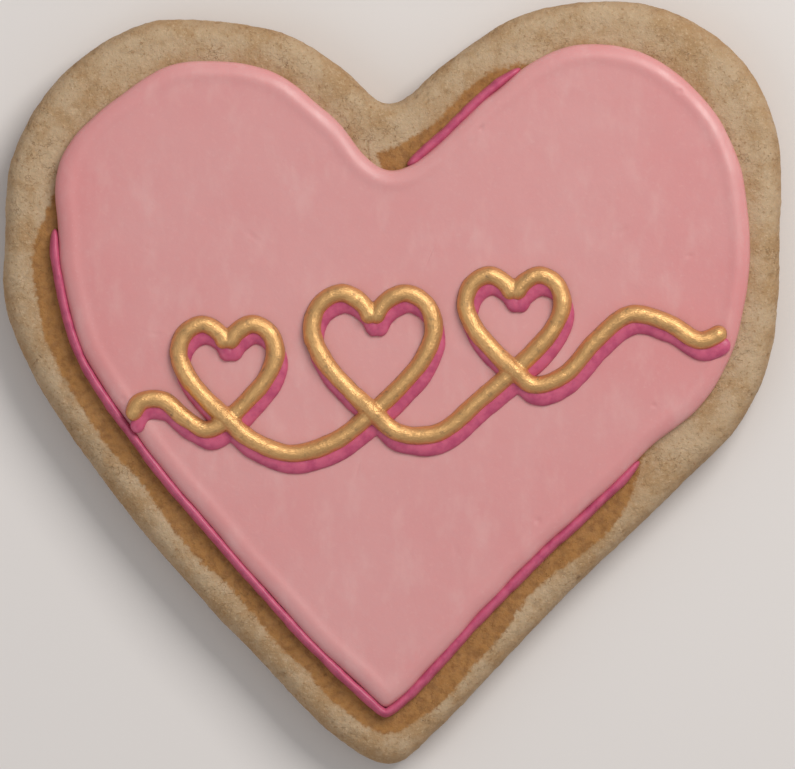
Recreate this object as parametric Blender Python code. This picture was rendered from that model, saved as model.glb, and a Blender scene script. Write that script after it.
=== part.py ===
"""Heart-shaped iced sugar cookie, lying flat on its base.

A rolled and baked biscuit carries a flood of pink icing. Deep pink lines edge the icing along its
lower sides and on the right of its cleft. A gold line, piped over a deep pink shade line, crosses
the icing from side to side through three heart-shaped loops.

Metres, +Z up. The origin is the middle of the base of the cookie's box, and +Y runs from the
heart's tip towards its cleft.
"""

import math

import bmesh
import bpy
import numpy as np

MM = 0.001

# Driving dimensions, in millimetres.
COOKIE_WIDTH = 105.0
BISCUIT_THICKNESS = 8.0
BISCUIT_TOP_ROUNDING = 2.6
BISCUIT_TOP_RISE = 2.8  # how far down the side the top's rounding starts
BISCUIT_BASE_ROUNDING = 0.9
BISCUIT_BASE_RISE = 1.35
BASE_CORNER_SHARE = 0.3  # of both base sizes, where the chamfered base edge has its middle point
ICING_THICKNESS = 2.0
ICING_ROUNDING = 1.6
ICING_LIP = 0.5  # the upright part of the icing's edge
ICING_FOOT_TUCK = 0.25
RIM_LINE_WIDTH = 1.3
RIM_LINE_HEIGHT = 1.4
GOLD_LINE_WIDTH = 2.5
GOLD_LINE_HEIGHT = 1.6
SHADE_LINE_WIDTH = 2.2
SHADE_LINE_HEIGHT = 0.8
SHADE_OFFSET = np.array((0.5, -1.6))
GAP = 0.3  # clearance that touching solids keep

# How finely the faceted solids are divided, in millimetres or in facets.
BISCUIT_STEP = 2.4
ICING_STEP = 2.4
LINE_STEP = 2.1
RIM_STEP = 2.4
TURN_LENGTH = 2.6  # extra length counted for each radian turned, so tight bends get shorter steps
LINE_FACETS = 6
THIN_LINE_FACETS = 4
ROUNDING_STEPS = 3
CURVE_POINTS = 16
END_ROUNDING_TURNS = np.radians((0.0, 37.0, 67.0))
SMOOTH_SHADING_ANGLE = math.radians(50)

# Outlines, counter-clockwise from the cleft, drawn at COOKIE_WIDTH.
BISCUIT_ANCHORS = (
    (-0.5, 37.6), (-6.7, 42.3), (-14.0, 47.0), (-24.0, 48.8), (-33.0, 48.6), (-41.0, 44.5),
    (-47.6, 38.0), (-51.7, 29.5), (-52.4, 20.0), (-52.3, 11.0), (-49.0, 2.0), (-42.4, -8.5),
    (-31.0, -23.4), (-18.2, -37.2), (-7.0, -48.4), (0.0, -51.5), (6.2, -46.7), (20.3, -31.8),
    (38.3, -14.3), (47.0, -5.5), (51.3, 5.0), (52.3, 19.5), (51.8, 34.5), (47.5, 43.0),
    (39.4, 49.3), (28.5, 51.6), (17.0, 49.4), (7.5, 43.5),
)
ICING_ANCHORS = (
    (0.0, 29.8), (-4.1, 32.1), (-9.2, 36.4), (-16.0, 41.4), (-23.0, 43.0), (-30.4, 42.3),
    (-36.7, 38.3), (-43.0, 32.6), (-46.4, 25.7), (-46.6, 18.7), (-45.4, 11.0), (-42.8, 2.6),
    (-36.4, -7.2), (-27.9, -17.9), (-12.3, -35.5), (-4.6, -42.9), (-1.0, -45.7), (2.0, -43.9),
    (13.2, -31.9), (20.4, -24.6), (35.0, -10.8), (43.3, -0.7), (47.0, 8.4), (48.1, 19.2),
    (46.7, 29.0), (42.3, 37.6), (35.0, 43.6), (27.0, 45.4), (19.4, 44.8), (12.0, 39.6),
    (4.5, 32.6),
)

# Where the deep pink rim lines start and end, as points near the icing's outline.
RIM_LINES = {
    "rim_line_lower": ((-46.6, 21.5), (34.5, -11.3)),
    "rim_line_cleft": ((16.5, 43.0), (0.8, 30.0)),
}
RIM_FADE = 10.0  # length over which the icing makes room for a rim line

# The gold line: each heart-shaped loop is its crossing point, and its width and height.
HEART_LOOPS = (
    ((-22.2, -5.2), (13.0, 12.8)),
    ((-2.6, -4.2), (16.4, 16.0)),
    ((16.4, 1.4), (13.0, 12.8)),
)
# What runs between the loops: the lead-in, the two links and the tail.
RUNS = (
    ((-35.2, -5.4), (-33.9, -2.9), (-31.0, -2.6), (-28.0, -5.0), (-25.0, -6.6)),
    ((-19.2, -7.8), (-13.8, -9.8), (-7.8, -8.2)),
    ((0.8, -7.0), (6.2, -7.0), (12.0, -2.4)),
    ((19.0, -0.6), (23.2, 0.8), (27.6, 5.6), (32.0, 8.9), (37.0, 7.8), (41.4, 5.4), (45.0, 6.8)),
)
# The right half of a loop of unit width and height, from its crossing up to its cleft.
HALF_LOOP = (
    (0.0, 0.0), (0.23, 0.22), (0.42, 0.46), (0.50, 0.70), (0.43, 0.91), (0.26, 1.0),
    (0.09, 0.91), (0.0, 0.74),
)

COLOURS = {
    "baked_biscuit": ((0.46, 0.33, 0.19), 0.85, 0.0),
    "pink_icing": ((0.65, 0.30, 0.29), 0.45, 0.0),
    "deep_pink_icing": ((0.50, 0.10, 0.16), 0.45, 0.0),
    "gold_lustre": ((0.72, 0.44, 0.14), 0.35, 0.9),
}


def clear_scene():
    """Removes the objects that the scene starts with."""
    for obj in list(bpy.data.objects):
        bpy.data.objects.remove(obj)


def material(name):
    """The Principled material of that name, made once."""
    found = bpy.data.materials.get(name)
    if found:
        return found
    colour, roughness, metallic = COLOURS[name]
    made = bpy.data.materials.new(name)
    made.use_nodes = True
    shader = made.node_tree.nodes["Principled BSDF"]
    shader.inputs["Base Color"].default_value = (*colour, 1.0)
    shader.inputs["Roughness"].default_value = roughness
    shader.inputs["Metallic"].default_value = metallic
    return made


def add_mesh(name, points, faces, material_name):
    """An object whose mesh has these points, given in millimetres."""
    mesh = bpy.data.meshes.new(name)
    mesh.from_pydata((np.asarray(points) * MM).tolist(), [], faces)
    mesh.materials.append(material(material_name))
    mesh.validate()
    mesh.shade_smooth()
    mesh.set_sharp_from_angle(angle=SMOOTH_SHADING_ANGLE)
    obj = bpy.data.objects.new(name, mesh)
    bpy.context.scene.collection.objects.link(obj)
    return obj


def smooth_curve(anchors, closed):
    """Centripetal Catmull-Rom curve through the anchors, with CURVE_POINTS to a span."""
    anchors = np.array(anchors, float)
    if closed:
        padded = np.vstack([anchors[-1], anchors, anchors[:2]])
    else:
        before, after = 2 * anchors[0] - anchors[1], 2 * anchors[-1] - anchors[-2]
        padded = np.vstack([before, anchors, after])
    spans = []
    for a, b, c, d in zip(padded, padded[1:], padded[2:], padded[3:]):
        t1 = math.sqrt(np.linalg.norm(b - a))
        t2 = t1 + math.sqrt(np.linalg.norm(c - b))
        t3 = t2 + math.sqrt(np.linalg.norm(d - c))
        t = np.linspace(t1, t2, CURVE_POINTS, endpoint=False)[:, None]
        ab = a + (b - a) * t / t1
        bc = b + (c - b) * (t - t1) / (t2 - t1)
        cd = c + (d - c) * (t - t2) / (t3 - t2)
        abc = ab + (bc - ab) * t / t2
        bcd = bc + (cd - bc) * (t - t1) / (t3 - t1)
        spans.append(abc + (bcd - abc) * (t - t1) / (t2 - t1))
    if not closed:
        spans.append(anchors[-1:])
    return np.vstack(spans)


def lengths_along(points):
    """The length of the curve from its first point to each of its points."""
    steps = np.linalg.norm(np.diff(points, axis=0), axis=1)
    return np.concatenate([[0.0], np.cumsum(steps)])


def even_steps(points, step, closed):
    """The curve read again at steps close to the one asked for, and at shorter ones in bends."""
    if closed:
        points = np.vstack([points, points[:1]])
    ways = np.diff(points, axis=0)
    headings = np.unwrap(np.arctan2(ways[:, 1], ways[:, 0]))
    turned = np.cumsum(np.abs(np.diff(headings, prepend=headings[0], append=headings[-1])))
    along = lengths_along(points) + TURN_LENGTH * turned
    count = max(2, round(along[-1] / step)) + (0 if closed else 1)
    at = np.linspace(0.0, along[-1], count, endpoint=not closed)
    return np.column_stack([np.interp(at, along, points[:, k]) for k in (0, 1)])


def side_normals(points, closed):
    """Unit normals to the right of the way the curve runs, which is outwards on an outline."""
    if closed:
        ahead = np.roll(points, -1, axis=0) - np.roll(points, 1, axis=0)
    else:
        ahead = np.gradient(points, axis=0)
    ahead /= np.linalg.norm(ahead, axis=1)[:, None]
    return np.column_stack([ahead[:, 1], -ahead[:, 0]])


def ring_faces(rings, size):
    """Faces of a stack of closed rings of points, with a cap at each end."""
    faces = [tuple(reversed(range(size)))]
    for ring in range(rings - 1):
        low = ring * size
        for k in range(size):
            after = (k + 1) % size
            faces.append((low + k, low + after, low + size + after, low + size + k))
    faces.append(tuple(range((rings - 1) * size, rings * size)))
    return faces


def quarter_round(radius, rise, base):
    """(inset, height) pairs of a quarter ellipse, from an upright wall over to a flat top."""
    angles = np.linspace(0.0, math.pi / 2, ROUNDING_STEPS + 1)
    return [(radius * (1 - math.cos(a)), base + rise * math.sin(a)) for a in angles]


def slab(name, outline, base, profile, material_name):
    """A solid whose rings are the outline moved in by each inset of the profile, base to top."""
    normals = side_normals(outline, closed=True)
    rings = []
    for inset, height in profile:
        level = np.full(len(outline), base + height)
        rings.append(np.column_stack([outline - normals * inset, level]))
    return add_mesh(name, np.vstack(rings), ring_faces(len(rings), len(outline)), material_name)


def piped_line(name, path, width, height, base, facets, material_name):
    """A piped line: a half-ellipse section carried along the path, with rounded ends."""
    half = width / 2
    reach, shrink = half * np.sin(END_ROUNDING_TURNS), np.cos(END_ROUNDING_TURNS)
    extra = len(END_ROUNDING_TURNS) - 1
    normals = side_normals(path, closed=False)
    ahead = np.column_stack([-normals[:, 1], normals[:, 0]])
    start = path[0] - reach[:0:-1, None] * ahead[0]
    end = path[-1] + reach[1:, None] * ahead[-1]
    centres = np.vstack([start, path, end])
    sides = np.vstack([normals[:1]] * extra + [normals] + [normals[-1:]] * extra)
    scale = np.concatenate([shrink[:0:-1], np.ones(len(path)), shrink[1:]])
    angles = np.linspace(math.pi, 0.0, facets + 1)
    across = half * np.cos(angles)
    up = height * np.sin(angles)
    flat = centres[:, None] + sides[:, None] * (scale[:, None] * across)[..., None]
    level = base + scale[:, None] * up
    points = np.dstack([flat, level]).reshape(-1, 3)
    return add_mesh(name, points, ring_faces(len(centres), facets + 1), material_name)


def boolean(obj, operation, other):
    """Applies a Boolean of obj with other, which is then removed.

    The solver is MANIFOLD, because EXACT leaves open edges where flat undersides share a plane.
    """
    modifier = obj.modifiers.new(operation.lower(), "BOOLEAN")
    modifier.operation = operation
    modifier.solver = "MANIFOLD"
    modifier.object = other
    graph = bpy.context.evaluated_depsgraph_get()
    result = bpy.data.meshes.new_from_object(obj.evaluated_get(graph))
    obj.modifiers.clear()
    obj.data = result
    bpy.data.objects.remove(other)


def keep_largest_piece(obj):
    """Removes the slivers that a cut leaves beside or inside the piece itself."""
    mesh = bmesh.new()
    mesh.from_mesh(obj.data)
    left = set(mesh.verts)
    pieces = []
    while left:
        piece, border = set(), {next(iter(left))}
        while border:
            piece |= border
            border = {edge.other_vert(v) for v in border for edge in v.link_edges} - piece
        left -= piece
        pieces.append(piece)
    pieces.sort(key=len)
    for piece in pieces[:-1]:
        bmesh.ops.delete(mesh, geom=list(piece), context="VERTS")
    mesh.to_mesh(obj.data)
    mesh.free()


def rim_span(outline, start, end):
    """The indices of the outline's points between those nearest to start and to end."""
    first = int(np.argmin(np.linalg.norm(outline - start, axis=1)))
    last = int(np.argmin(np.linalg.norm(outline - end, axis=1)))
    low, high = sorted((first, last))
    return np.arange(low, high + 1)


def icing_outline():
    """The icing's outline, drawn in where a rim line lies beside it, and the outline it started as."""
    outline = even_steps(smooth_curve(ICING_ANCHORS, closed=True), ICING_STEP, closed=True)
    places = lengths_along(outline)
    length = places[-1] + np.linalg.norm(outline[0] - outline[-1])
    inset = np.zeros(len(outline))
    for start, end in RIM_LINES.values():
        span = rim_span(outline, start, end)
        low, high = places[span[0]] - RIM_LINE_WIDTH, places[span[-1]] + RIM_LINE_WIDTH
        before = np.mod(low - places, length)
        after = np.mod(places - high, length)
        outside = np.where((places > low) & (places < high), 0.0, np.minimum(before, after))
        cover = np.clip(1 - outside / RIM_FADE, 0.0, 1.0)
        inset = np.maximum(inset, cover * cover * (3 - 2 * cover))
    room = (RIM_LINE_WIDTH + GAP) * inset
    return outline - side_normals(outline, closed=True) * room[:, None], outline


def heart_half(loop, left):
    """One side of a heart-shaped loop: up its right side, or down its left side from the cleft."""
    (x, y), (width, height) = loop
    half = HALF_LOOP[::-1] if left else HALF_LOOP
    side = -1 if left else 1
    return [(x + side * width * a, y + height * b) for a, b in half]


def flourish_strokes():
    """The gold line's centre as four strokes, which meet at the clefts of the three loops."""
    lead_in, first_link, second_link, tail = RUNS
    first, second, third = HEART_LOOPS
    strokes = (
        [*lead_in, *heart_half(first, left=False)],
        [*heart_half(first, left=True), *first_link, *heart_half(second, left=False)],
        [*heart_half(second, left=True), *second_link, *heart_half(third, left=False)],
        [*heart_half(third, left=True), *tail],
    )
    return [even_steps(smooth_curve(s, closed=False), LINE_STEP, closed=False) for s in strokes]


def joined_strokes(name, strokes, width, height, base, facets, material_name):
    """One solid from several strokes of the same line."""
    section = (width, height, base, facets, material_name)
    whole = piped_line(name, strokes[0], *section)
    for stroke in strokes[1:]:
        boolean(whole, "UNION", piped_line("stroke", stroke, *section))
    return whole


def make_biscuit():
    """The baked heart: a rounded base edge, upright sides and a softly rounded top edge."""
    outline = even_steps(smooth_curve(BISCUIT_ANCHORS, closed=True), BISCUIT_STEP, closed=True)
    low, high = outline.min(axis=0), outline.max(axis=0)
    outline = (outline - (low + high) / 2) * COOKIE_WIDTH / (high[0] - low[0])
    corner = (BISCUIT_BASE_ROUNDING * BASE_CORNER_SHARE, BISCUIT_BASE_RISE * BASE_CORNER_SHARE)
    foot = [(BISCUIT_BASE_ROUNDING, 0.0), corner]
    wall = [(0.0, BISCUIT_BASE_RISE)]
    shoulder = BISCUIT_THICKNESS - BISCUIT_TOP_RISE
    top = quarter_round(BISCUIT_TOP_ROUNDING, BISCUIT_TOP_RISE, shoulder)
    return slab("biscuit", outline, 0.0, foot + wall + top, "baked_biscuit")


def make_icing(base):
    """The flood of icing: its foot tucked in, its edge rounded over to a flat top."""
    outline, _ = icing_outline()
    over = quarter_round(ICING_ROUNDING, ICING_THICKNESS - ICING_LIP, ICING_LIP)
    return slab("pink_icing", outline, base, [(ICING_FOOT_TUCK, 0.0)] + over, "pink_icing")


def make_rim_line(name, base):
    """A deep pink line piped along the icing's edge, inside the outline that both share."""
    _, outline = icing_outline()
    centre = outline - side_normals(outline, closed=True) * RIM_LINE_WIDTH / 2
    span = rim_span(outline, *RIM_LINES[name])
    path = even_steps(centre[span], RIM_STEP, closed=False)
    return piped_line(
        name, path, RIM_LINE_WIDTH, RIM_LINE_HEIGHT, base, THIN_LINE_FACETS, "deep_pink_icing"
    )


def make_shade_line(name, base, margin=0.0):
    """The shade line, or with a margin the room that the gold line leaves for it."""
    strokes = [stroke + SHADE_OFFSET for stroke in flourish_strokes()]
    width, height = SHADE_LINE_WIDTH + 2 * margin, SHADE_LINE_HEIGHT + 2 * margin
    return joined_strokes(
        name, strokes, width, height, base - margin, THIN_LINE_FACETS, "deep_pink_icing"
    )


def make_gold_line(base):
    """The gold line, cut underneath where it lies over the shade line."""
    gold = joined_strokes(
        "gold_line", flourish_strokes(), GOLD_LINE_WIDTH, GOLD_LINE_HEIGHT, base, LINE_FACETS,
        "gold_lustre",
    )
    boolean(gold, "DIFFERENCE", make_shade_line("room_for_shade", base, margin=GAP))
    keep_largest_piece(gold)
    return gold


def main():
    clear_scene()
    icing_base = BISCUIT_THICKNESS + GAP
    line_base = icing_base + ICING_THICKNESS + GAP
    make_biscuit()
    make_icing(icing_base)
    for name in RIM_LINES:
        make_rim_line(name, icing_base)
    make_shade_line("shade_line", line_base)
    make_gold_line(line_base)


main()
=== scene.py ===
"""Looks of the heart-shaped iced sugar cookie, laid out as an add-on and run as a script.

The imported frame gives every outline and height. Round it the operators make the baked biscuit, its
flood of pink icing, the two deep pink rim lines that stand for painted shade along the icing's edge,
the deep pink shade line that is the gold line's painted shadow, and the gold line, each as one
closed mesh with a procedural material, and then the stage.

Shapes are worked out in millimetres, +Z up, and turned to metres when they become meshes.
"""

import math
from collections import namedtuple

import bpy
import numpy as np
from bpy.props import FloatProperty, FloatVectorProperty, PointerProperty
from bpy.types import Operator, Panel, PropertyGroup
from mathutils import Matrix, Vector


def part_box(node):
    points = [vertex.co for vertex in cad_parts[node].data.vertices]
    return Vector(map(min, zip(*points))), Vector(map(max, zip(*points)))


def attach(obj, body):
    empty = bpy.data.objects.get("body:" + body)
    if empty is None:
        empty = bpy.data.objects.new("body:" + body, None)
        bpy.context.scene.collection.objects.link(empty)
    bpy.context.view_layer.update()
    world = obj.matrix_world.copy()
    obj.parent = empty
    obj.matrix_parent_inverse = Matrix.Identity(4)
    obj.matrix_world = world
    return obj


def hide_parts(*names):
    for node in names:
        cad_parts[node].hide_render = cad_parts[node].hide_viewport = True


bl_info = {
    "name": "Iced Sugar Cookie",
    "version": (1, 0, 0),
    "blender": (4, 5, 0),
    "location": "3D View > Sidebar > Cookie",
    "description": "Builds a baked and iced heart-shaped sugar cookie round its packed frame",
    "category": "Object",
}

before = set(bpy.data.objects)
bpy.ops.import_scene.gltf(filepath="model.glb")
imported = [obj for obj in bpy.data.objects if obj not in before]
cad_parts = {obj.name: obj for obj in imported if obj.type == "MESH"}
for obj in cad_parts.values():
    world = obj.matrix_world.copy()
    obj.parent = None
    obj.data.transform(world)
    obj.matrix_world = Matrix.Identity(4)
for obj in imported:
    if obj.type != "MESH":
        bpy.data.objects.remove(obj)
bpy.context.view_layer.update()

MM = 0.001
ROOT = "root"
SAME_HEIGHT = 0.02  # vertices whose heights differ by less are on one level

# Noise: a prime and large odd factors, so that neighbouring cells draw unlike numbers.
HASH_SIZE = 65521
HASH_FACTORS = np.array((73856093, 19349663, 83492791))
PORE_LEAST, PORE_MORE = 0.14, 0.30  # a pore's smallest radius and its spread, as shares of a cell

# How finely the meshes are divided.
BISCUIT_POINTS = 1200
ICING_POINTS = 1100
LINE_STEP = 0.16
LINE_SECTION_POINTS = 28
VOXEL = 0.16
SMOOTH_PASSES = 4
CURVE_POINTS = 24
BASE_RINGS, WALL_RINGS = 7, 12
STEP_GROWTH = 1.7  # how much the steps between a top's rings grow away from its edge
LAST_RING = 0.02  # the size of a top's innermost ring, as a share
CHUNK = 8000  # points whose distances are worked out at one time

# The gold line: each heart-shaped loop is its crossing point, and its width and height.
HEART_LOOPS = (
    ((-22.2, -5.2), (13.0, 12.8)),
    ((-2.6, -4.2), (16.4, 16.0)),
    ((16.4, 1.4), (13.0, 12.8)),
)
# What runs between the loops: the lead-in, the two links and the tail.
RUNS = (
    ((-35.2, -5.4), (-33.9, -2.9), (-31.0, -2.6), (-28.0, -5.0), (-25.0, -6.6)),
    ((-19.2, -7.8), (-13.8, -9.8), (-7.8, -8.2)),
    ((0.8, -7.0), (6.2, -7.0), (12.0, -2.4)),
    ((19.0, -0.6), (23.2, 0.8), (27.6, 5.6), (32.0, 8.9), (37.0, 7.8), (41.4, 5.4), (45.0, 6.8)),
)
# The right half of a loop of unit width and height, from its crossing up to its cleft.
HALF_LOOP = (
    (0.0, 0.0), (0.23, 0.22), (0.42, 0.46), (0.50, 0.70), (0.43, 0.91), (0.26, 1.0),
    (0.09, 0.91), (0.0, 0.74),
)
# The shade line is the gold line's painted shadow: a deep pink line offset by this much.
SHADE_OFFSET = np.array((0.5, -1.6))
SINK = 0.15  # how far these lines' widest level lies below the icing's top
STROKE_GAP = 10.0  # between the levels at which two strokes read their noise
STREAK_GAP = 40.0  # between two strokes along the brushed streaks
HUMP_REACH = 2.0  # how far from a crossing the rise of the upper stroke has fallen off
FOOT_SHADE_HEIGHT = 0.5  # above the icing's top, up to which the gold line's foot is darkened as painted shade
SHADE_LUMPS = 0.7  # the height of the shade line's lumps, as a share of the others'

# Each piped line: how much its width varies and over what length, the rounding of its ends, and
# how deep it reaches below its widest level.
Piping = namedtuple("Piping", "unevenness cell rounding depth")
RIM = Piping(unevenness=0.16, cell=3.0, rounding=1.2, depth=0.3)
SHADE = Piping(unevenness=0.14, cell=2.6, rounding=1.3, depth=0.25)
GOLD = Piping(unevenness=0.09, cell=3.2, rounding=1.35, depth=0.35)
RIM_TAPER, RIM_TAPER_LENGTH = 0.3, 4.0  # the share of width lost at an end, and over what length
RIM_LOW_END = 0.35  # the share of height that would be left at no width
RIM_SHIFT, RIM_WANDER = 0.42, 0.08  # how far it lies nearer the icing than the frame's, and varies
RIM_ROOM = 1.6  # how far the frame's icing keeps from the far side of a rim line

# The brown bands, which are the icing's painted shadow on the biscuit: the rim line beside each,
# how many degrees it starts before that line and ends after it, the degrees over which it runs out,
# and its share of the full width.
SHADOW_BANDS = (("rim_line_lower", 8.0, 4.5, 17.0, 1.0), ("rim_line_cleft", 3.0, 10.0, 9.0, 0.8))
SHADOW_BAND_UNEVENNESS = 0.20

# The biscuit. The rings of its top and underside shrink towards its centre.
BISCUIT_CENTRE = np.array((0.0, 6.0))
BISCUIT_UNDER = np.linspace(0.06, 0.985, 9)  # its underside's rings, as shares of the outermost
BASE_ROUNDING = 0.9
BASE_RISE = 1.35
TOP_ROUNDING = 2.9
TOP_RISE = 2.8
TOP_POWER = 2.1
SIDE_START, SIDE_GROWTH = 0.6, 1.2  # the height where relief starts, and over which it grows
TOP_START, TOP_GROWTH = 2.0, 1.6  # how far below the top its own relief starts, and grows
STRAY_STRETCH = (1.0, 1.0, 0.4)  # the cut edge strays in upright ripples
LAYER_STRETCH, LAYER_DEPTH = (1.0, 1.0, 1.8), 0.10  # the dough's layers lie flat
SMALL_PORE = 0.55  # the depth of the small pores, as a share of the large ones'
BASE_TOAST, BASE_TOAST_HEIGHT = 0.75, 3.0
EDGE_TOAST, EDGE_TOAST_REACH = 0.55, 1.6

# The icing. Names that end like the biscuit's mean the same.
ICING_CENTRE = np.array((0.0, 5.0))
ICING_UNDER = np.linspace(0.1, 0.96, 3)
ICING_TUCK = (0.40, 0.20, 0.07)  # how far its foot is drawn in, from the underside up
ICING_LIP = 0.55  # the upright part of its edge
ICING_ROUNDING = 1.8
ICING_POWER = 2.3
ICING_SINK = 0.2  # how far it reaches into the biscuit, whose top is uneven
ICING_TOP_START, ICING_TOP_GROWTH = 0.9, 0.8
EDGE_RIPPLE = 0.05
RIDGE_INSET = 1.9
RIDGE_REACH = 0.75
LOBE_WARMTH, LOBE_REACH = 0.5, 48.0
TIP_WARMTH, TIP_REACH = 0.12, 30.0

# The stage, in metres.
KEY_PLACE, KEY_SIZE, KEY_COLOUR = (0.34, 0.38, 0.52), 0.38, (1.0, 0.965, 0.92)
FILL_PLACE, FILL_SIZE, FILL_COLOUR = (-0.5, -0.3, 0.6), 0.6, (0.93, 0.96, 1.0)
ROOM_COLOUR = (1.0, 0.985, 0.97, 1.0)
AIM_OFFSET = (0.00070, -0.00048)  # from the middle of the cookie to the middle of the view
SENSOR_WIDTH = 36.0  # in millimetres
VIEW_RANGE = (0.01, 20.0)


# ---- sizes and colours

def length(name, description, default):
    """A size in metres."""
    return FloatProperty(
        name=name, description=description, default=default, min=0.0, precision=6,
        subtype="DISTANCE", unit="LENGTH",
    )


def tint(name, description, default):
    """A linear colour."""
    return FloatVectorProperty(
        name=name, description=description, default=default, min=0.0, max=1.0, subtype="COLOR"
    )


class COOKIE_PG_biscuit(PropertyGroup):
    """Sizes and colours of the baked biscuit."""

    wobble: length("Edge wobble", "How far the cut edge strays from the outline", 0.00022)
    swell: length("Surface swell", "Height of the slow rise and fall of the top", 0.00016)
    crumb: length("Crumb depth", "Height of the fine crumb", 0.00010)
    pore: length("Pore depth", "Depth of the open pores", 0.00038)
    # The brown band is the icing's painted shadow on the biscuit.
    shadow_band_width: length("Brown band width", "Width of the browned band", 0.0024)
    dough: tint("Dough", "Pale baked dough", (0.525, 0.378, 0.236))
    golden: tint("Golden dough", "Dough that took more colour", (0.43, 0.268, 0.134))
    # The toasted colour also paints shade into the pores and cracks.
    toasted: tint("Toasted edge", "Browned edge and underside", (0.31, 0.165, 0.066))
    # Colours of the icing's painted shadow on the biscuit, in toasted browns.
    shadow_band: tint("Brown band", "Browned band beside the icing", (0.385, 0.178, 0.045))
    shadow_band_dark: tint("Dark in the band", "Darkest parts of the band", (0.265, 0.112, 0.025))


class COOKIE_PG_icing(PropertyGroup):
    """Sizes and colours of the pink flood icing."""

    wobble: length("Edge wobble", "How far the flooded edge strays", 0.00017)
    ridge: length("Edge ridge", "How far the outline ridge stands up", 0.00014)
    swell: length("Surface swell", "Height of the slow waves on the top", 0.00009)
    bubble: length("Bubble pits", "Depth of burst bubbles", 0.00016)
    pink: tint("Pink", "Main icing colour", (0.71, 0.335, 0.335))
    pale: tint("Pale pink", "Paler streaks", (0.78, 0.46, 0.45))
    warm: tint("Warm pink", "Stronger pink at the lobes", (0.70, 0.27, 0.275))


class COOKIE_PG_lines(PropertyGroup):
    """Sizes and colours of the piped lines."""

    gold_width: length("Gold width", "Width of the gold line", 0.0026)
    gold_height: length("Gold height", "Height of the gold line", 0.00145)
    hump: length("Crossing hump", "Rise of the gold line over itself", 0.0006)
    shade_width: length("Shade width", "Width of the shade line", 0.0023)
    shade_height: length("Shade height", "Height of the shade line", 0.0006)
    rim_width: length("Rim width", "Width of the rim lines", 0.0015)
    lumps: length("Lumps", "Height of the unevenness along the lines", 0.00006)
    # Deep pink of the rim and shade lines, which stand for painted shade and painted shadow.
    deep_pink: tint("Deep pink", "Rim and shade lines", (0.60, 0.108, 0.205))
    deep_pink_dark: tint("Dark deep pink", "Darker parts", (0.47, 0.065, 0.155))
    gold: tint("Gold", "Brushed lustre", (0.71, 0.42, 0.178))
    # Colour of thin lustre in patches, and of the painted shade at the gold line's foot.
    gold_thin_and_shaded: tint("Worn gold", "Where the lustre is thin", (0.29, 0.175, 0.09))


class COOKIE_PG_stage(PropertyGroup):
    """Floor, light and camera."""

    floor: tint("Floor", "Plain pale floor", (0.785, 0.752, 0.738))
    floor_size: length("Floor size", "Width of the floor", 6.0)
    key_power: FloatProperty(name="Key power", description="Main light", default=3.6, unit="POWER")
    fill_power: FloatProperty(name="Fill power", description="Soft fill", default=0.9, unit="POWER")
    ambient: FloatProperty(name="Ambient", description="Light from all round", default=0.36)
    distance: length("Camera distance", "From the cookie's top to the camera", 2.0)
    field: length("Field", "Width seen at the cookie's top", 0.1070)
    elevation: FloatProperty(
        name="Elevation", description="Camera above the horizon", default=math.radians(88.5),
        subtype="ANGLE",
    )


# ---- noise

def cell_key(cells):
    """A number below HASH_SIZE for each cell of a lattice, mixed from its three indices."""
    x, y, z = (cells * HASH_FACTORS).T
    return (x ^ y ^ z) % HASH_SIZE


def lattice_noise(points, cell, seed):
    """Smooth noise from -1 to 1.

    Random values sit on the corners of cubes of that size, and each point blends its cube's eight
    corners by the fade 6t^5 - 15t^4 + 10t^3 along each axis.
    """
    values = np.random.default_rng(seed).uniform(-1.0, 1.0, HASH_SIZE)
    scaled = points / cell
    corner = np.floor(scaled).astype(np.int64)
    part = scaled - corner
    fade = part ** 3 * (part * (part * 6 - 15) + 10)
    total = np.zeros(len(points))
    for step in np.ndindex(2, 2, 2):
        share = np.prod(np.where(step, fade, 1 - fade), axis=1)
        total += share * values[cell_key(corner + step)]
    return total


def rough(points, cell, octaves, seed):
    """Noise of several sizes: each layer has half the cell and half the height of the one before."""
    layers = [lattice_noise(points, cell / 2 ** k, seed + k) / 2 ** k for k in range(octaves)]
    return sum(layers) / (2 - 2 ** (1 - octaves))


def pores(points, cell, share, seed):
    """Depth from 0 to 1 of round holes.

    Each cube of the lattice may hold one, of random place and size. Its depth falls off from its
    middle as the square of 1 - (distance / radius)^2.
    """
    draws = np.random.default_rng(seed).random((HASH_SIZE, 5))
    home = np.floor(points / cell).astype(np.int64)
    depth = np.zeros(len(points))
    for step in np.ndindex(3, 3, 3):
        cells = home + step - 1
        draw = draws[cell_key(cells)]
        centre = (cells + draw[:, :3]) * cell
        radius = cell * (PORE_LEAST + PORE_MORE * draw[:, 3] ** 2)
        near = 1 - ((points - centre) ** 2).sum(axis=1) / radius ** 2
        depth = np.maximum(depth, np.where(draw[:, 4] < share, np.clip(near, 0, 1) ** 2, 0))
    return depth


def at_level(path, level):
    """A flat path's points in space, all at one level, from which noise is read."""
    return np.column_stack([path, np.full(len(path), level)])


def smoothstep(value):
    """0 below 0, 1 above 1, and 3t^2 - 2t^3 between."""
    t = np.clip(value, 0.0, 1.0)
    return t * t * (3 - 2 * t)


# ---- the frame's outlines

def node_points(name):
    """The CAD node's vertices, in millimetres."""
    return millimetre_points(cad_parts[name])


def top_level(name):
    """The height of the CAD node's top, in millimetres."""
    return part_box(name)[1].z / MM


def turn_from_cleft(points):
    """Each point's angle round the origin, in degrees counter-clockwise from the cleft."""
    return np.degrees(np.arctan2(points[:, 1], points[:, 0]) - math.pi / 2) % 360


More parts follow.
